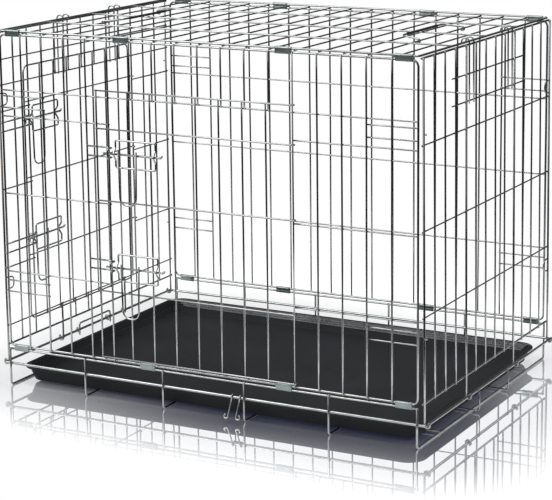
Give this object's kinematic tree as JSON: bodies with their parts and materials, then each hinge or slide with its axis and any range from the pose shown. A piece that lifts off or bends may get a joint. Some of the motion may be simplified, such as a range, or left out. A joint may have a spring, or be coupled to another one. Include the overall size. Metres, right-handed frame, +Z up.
{
  "type": "folding wire pet crate",
  "caption": "Folding welded-wire pet crate with a front door, an end door, slide-bolt latches, carrying handles and a slide-out tray.",
  "frame": {"origin": "on the floor, under the middle of the crate's outer box", "axes": "+X along the long side towards the end without a door, +Y from the front with the large door to the back, +Z up"},
  "size_m": [0.8212, 0.5748, 0.6326],
  "materials": {
    "zinc_wire": "zinc-plated wire, satin bright",
    "ring_wire": "zinc-plated thick wire, satin",
    "clip_sheet": "bright plated sheet steel",
    "tray_plastic": "black, fine grain",
    "grip_plastic": "black, smooth matt"
  },
  "bodies": {
    "base": {"base_frame": "ring_wire", "front_base_clip_1": "clip_sheet", "front_base_clip_2": "clip_sheet", "front_base_clip_3": "clip_sheet", "front_base_clip_4": "clip_sheet", "back_base_clip_1": "clip_sheet", "back_base_clip_2": "clip_sheet", "back_base_clip_3": "clip_sheet", "back_base_clip_4": "clip_sheet"},
    "tray": {"tray": "tray_plastic"},
    "tray_catch": {"tray_catch": "zinc_wire"},
    "base_hook": {"base_hook": "zinc_wire"},
    "front_panel": {"front_panel": "zinc_wire", "front_upper_latch_keeper": "zinc_wire", "front_lower_latch_keeper": "zinc_wire"},
    "back_panel": {"back_panel": "zinc_wire"},
    "top_panel": {"top_panel": "zinc_wire", "front_top_clip_1": "clip_sheet", "front_top_clip_2": "clip_sheet", "front_top_clip_3": "clip_sheet", "front_top_clip_4": "clip_sheet", "back_top_clip_1": "clip_sheet", "back_top_clip_2": "clip_sheet", "back_top_clip_3": "clip_sheet", "back_top_clip_4": "clip_sheet"},
    "left_end": {"left_end_panel": "zinc_wire", "left_upper_latch_keeper": "zinc_wire", "left_lower_latch_keeper": "zinc_wire", "left_end_hook_front": "zinc_wire", "left_end_hook_back": "zinc_wire"},
    "right_end": {"right_end_panel": "zinc_wire", "right_end_hook_front": "zinc_wire", "right_end_hook_back": "zinc_wire"},
    "front_door": {"front_door": "zinc_wire", "front_upper_latch_guide": "zinc_wire", "front_lower_latch_guide": "zinc_wire"},
    "left_door": {"left_door": "zinc_wire", "left_upper_latch_guide": "zinc_wire", "left_lower_latch_guide": "zinc_wire"},
    "front_upper_bolt": {"front_upper_latch_bolt": "zinc_wire"},
    "front_lower_bolt": {"front_lower_latch_bolt": "zinc_wire"},
    "left_upper_bolt": {"left_upper_latch_bolt": "zinc_wire"},
    "left_lower_bolt": {"left_lower_latch_bolt": "zinc_wire"},
    "left_handle": {"left_handle_bail": "zinc_wire", "left_handle_grip": "grip_plastic"},
    "right_handle": {"right_handle_bail": "zinc_wire", "right_handle_grip": "grip_plastic"}
  },
  "joints": [
    {"name": "front_fold", "type": "hinge", "parent": "base", "child": "front_panel", "pos_m": [0.00057, -0.26788, 0.0728], "axis": [1, 0, 0], "range_deg": [-85, 0]},
    {"name": "back_fold", "type": "hinge", "parent": "base", "child": "back_panel", "pos_m": [0.00057, 0.28281, 0.0728], "axis": [1, 0, 0], "range_deg": [-85, 0]},
    {"name": "top_fold", "type": "hinge", "parent": "front_panel", "child": "top_panel", "pos_m": [0.00057, -0.26788, 0.619], "axis": [1, 0, 0], "range_deg": [0, 85]},
    {"name": "left_end_fold", "type": "hinge", "parent": "base", "child": "left_end", "pos_m": [-0.40343, 0.00747, 0.04], "axis": [0, 1, 0], "range_deg": [0, 86]},
    {"name": "right_end_fold", "type": "hinge", "parent": "base", "child": "right_end", "pos_m": [0.40457, 0.00747, 0.04], "axis": [0, -1, 0], "range_deg": [0, 76]},
    {"name": "front_door_swing", "type": "hinge", "parent": "front_panel", "child": "front_door", "pos_m": [0.17391, -0.27069, 0.0728], "axis": [0, 0, -1], "range_deg": [-110, 0]},
    {"name": "left_door_swing", "type": "hinge", "parent": "left_end", "child": "left_door", "pos_m": [-0.39848, 0.15296, 0.0728], "axis": [0, 0, 1], "range_deg": [-110, 0]},
    {"name": "front_upper_bolt_slide", "type": "slide", "parent": "front_door", "child": "front_upper_bolt", "axis": [1, 0, 0], "range_m": [0, 0.015]},
    {"name": "front_lower_bolt_slide", "type": "slide", "parent": "front_door", "child": "front_lower_bolt", "axis": [1, 0, 0], "range_m": [0, 0.015]},
    {"name": "left_upper_bolt_slide", "type": "slide", "parent": "left_door", "child": "left_upper_bolt", "axis": [0, 1, 0], "range_m": [0, 0.015]},
    {"name": "left_lower_bolt_slide", "type": "slide", "parent": "left_door", "child": "left_lower_bolt", "axis": [0, 1, 0], "range_m": [0, 0.015]},
    {"name": "tray_slide", "type": "slide", "parent": "base", "child": "tray", "axis": [1, 0, 0], "range_m": [-0.7, 0]},
    {"name": "tray_catch_turn", "type": "hinge", "parent": "base", "child": "tray_catch", "pos_m": [-0.40343, 0.00747, 0.04], "axis": [0, -1, 0], "range_deg": [0, 100]},
    {"name": "base_hook_turn", "type": "hinge", "parent": "base", "child": "base_hook", "pos_m": [0.00057, -0.26769, 0.04], "axis": [-1, 0, 0], "range_deg": [0, 100]},
    {"name": "left_handle_turn", "type": "hinge", "parent": "top_panel", "child": "left_handle", "pos_m": [-0.30036, 0.00747, 0.6225], "axis": [0, -1, 0], "range_deg": [0, 150]},
    {"name": "right_handle_turn", "type": "hinge", "parent": "top_panel", "child": "right_handle", "pos_m": [0.30631, 0.00747, 0.6225], "axis": [0, 1, 0], "range_deg": [0, 150]}
  ],
  "couplings": [
    {"joint": "back_fold", "follows": "front_fold", "ratio": 1},
    {"joint": "top_fold", "follows": "front_fold", "ratio": -1}
  ]
}
